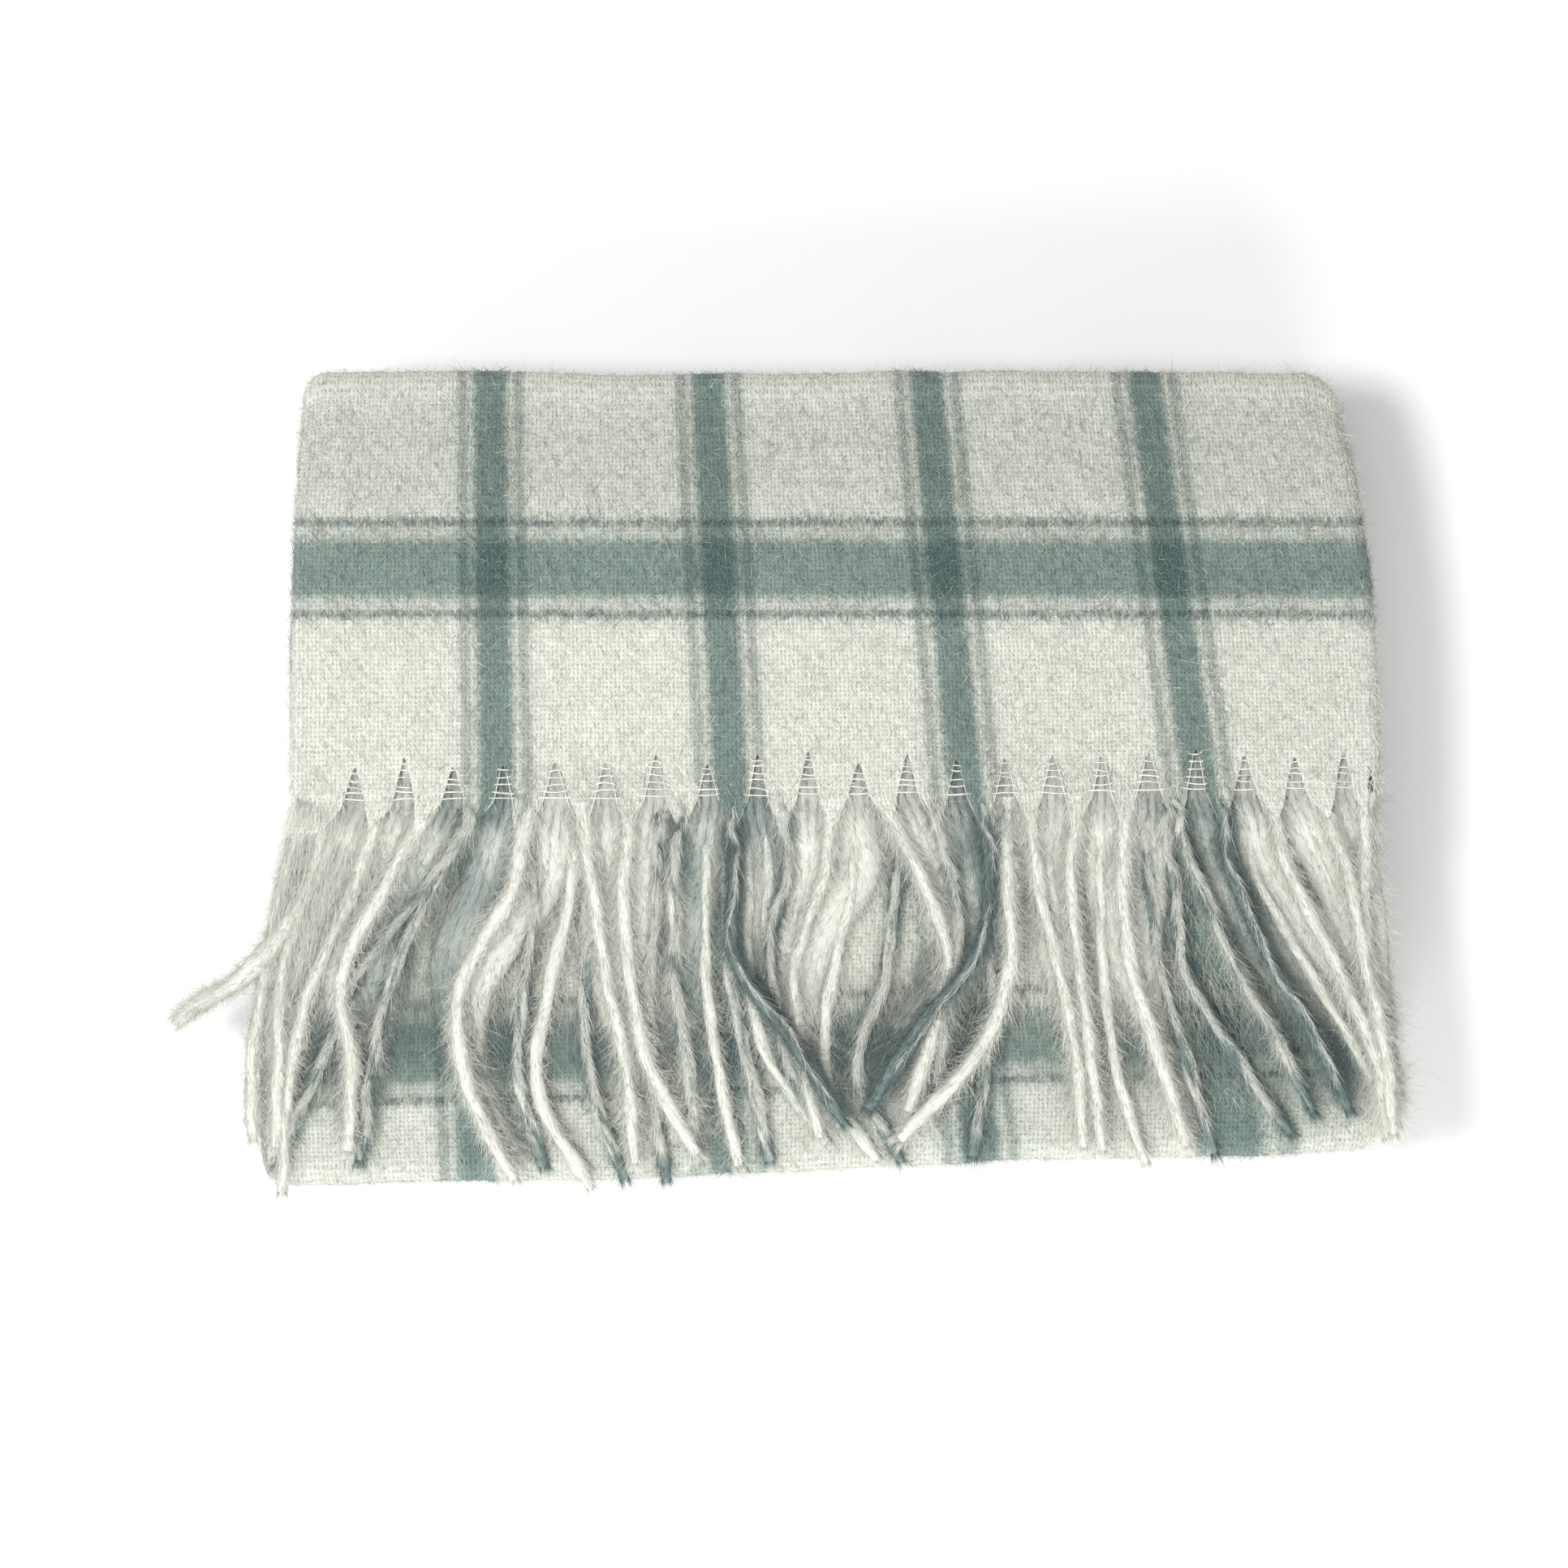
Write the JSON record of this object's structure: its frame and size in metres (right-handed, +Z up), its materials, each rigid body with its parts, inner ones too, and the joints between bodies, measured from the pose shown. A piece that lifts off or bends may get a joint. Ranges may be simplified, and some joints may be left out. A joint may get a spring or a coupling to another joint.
{
  "type": "folded throw blanket",
  "caption": "Brushed cream and sage-teal plaid throw folded into a flat pack, with a flap on top whose hem carries a long twisted tassel fringe.",
  "frame": {"origin": "the middle of the pack's flat underside, on the surface it rests on", "axes": "+X across the pack, along the folds; +Y from the fringe towards the top fold; +Z up"},
  "size_m": [0.3862, 0.25, 0.0588],
  "materials": {
    "brushed_plaid_cloth": "brushed woven mohair-like plaid, cream with sage-teal stripes, soft nap",
    "cream_yarn": "fuzzy twisted yarn, cream",
    "teal_yarn": "fuzzy twisted yarn, sage-teal with a white strand"
  },
  "bodies": {
    "folded_pack": {"bottom_panel": "brushed_plaid_cloth", "second_panel": "brushed_plaid_cloth", "third_panel": "brushed_plaid_cloth", "fourth_panel": "brushed_plaid_cloth", "fifth_panel": "brushed_plaid_cloth", "far_end_fringe": "cream_yarn"},
    "upper_layer": {"upper_panel": "brushed_plaid_cloth"},
    "front_flap": {"front_flap_panel": "brushed_plaid_cloth"},
    "front_fringe": {"top_tassel_01": "cream_yarn", "top_tassel_02": "cream_yarn", "top_tassel_03": "cream_yarn", "top_tassel_04": "teal_yarn", "top_tassel_05": "teal_yarn", "top_tassel_06": "cream_yarn", "top_tassel_07": "cream_yarn", "top_tassel_08": "cream_yarn", "top_tassel_09": "teal_yarn", "top_tassel_10": "cream_yarn", "top_tassel_11": "cream_yarn", "top_tassel_12": "cream_yarn", "top_tassel_13": "cream_yarn", "top_tassel_14": "teal_yarn", "top_tassel_15": "cream_yarn", "top_tassel_16": "cream_yarn", "top_tassel_17": "cream_yarn", "top_tassel_18": "teal_yarn", "top_tassel_19": "teal_yarn", "top_tassel_20": "cream_yarn", "top_tassel_21": "cream_yarn", "top_tassel_22": "cream_yarn", "under_tassel_01": "cream_yarn", "under_tassel_02": "cream_yarn", "under_tassel_03": "cream_yarn", "under_tassel_04": "cream_yarn", "under_tassel_05": "cream_yarn", "under_tassel_06": "teal_yarn", "under_tassel_07": "teal_yarn", "under_tassel_08": "teal_yarn", "under_tassel_09": "cream_yarn", "under_tassel_10": "cream_yarn", "under_tassel_11": "cream_yarn", "under_tassel_12": "teal_yarn", "under_tassel_13": "cream_yarn", "under_tassel_14": "cream_yarn", "under_tassel_15": "cream_yarn", "under_tassel_16": "cream_yarn", "under_tassel_17": "cream_yarn", "risen_tassel_01": "cream_yarn", "risen_tassel_02": "cream_yarn", "stray_tassel": "cream_yarn"}
  },
  "joints": [
    {"name": "front_fold", "type": "hinge", "parent": "folded_pack", "child": "upper_layer", "pos_m": [0, -0.1253, 0.04], "axis": [1, 0, 0], "range_deg": [0, 180]},
    {"name": "top_fold", "type": "hinge", "parent": "upper_layer", "child": "front_flap", "pos_m": [0, 0.1253, 0.048], "axis": [-1, 0, 0], "range_deg": [0, 180]},
    {"name": "fringe_hem", "type": "hinge", "parent": "front_flap", "child": "front_fringe", "pos_m": [0, -0.006, 0.059], "axis": [-1, 0, 0], "range_deg": [0, 170]}
  ]
}
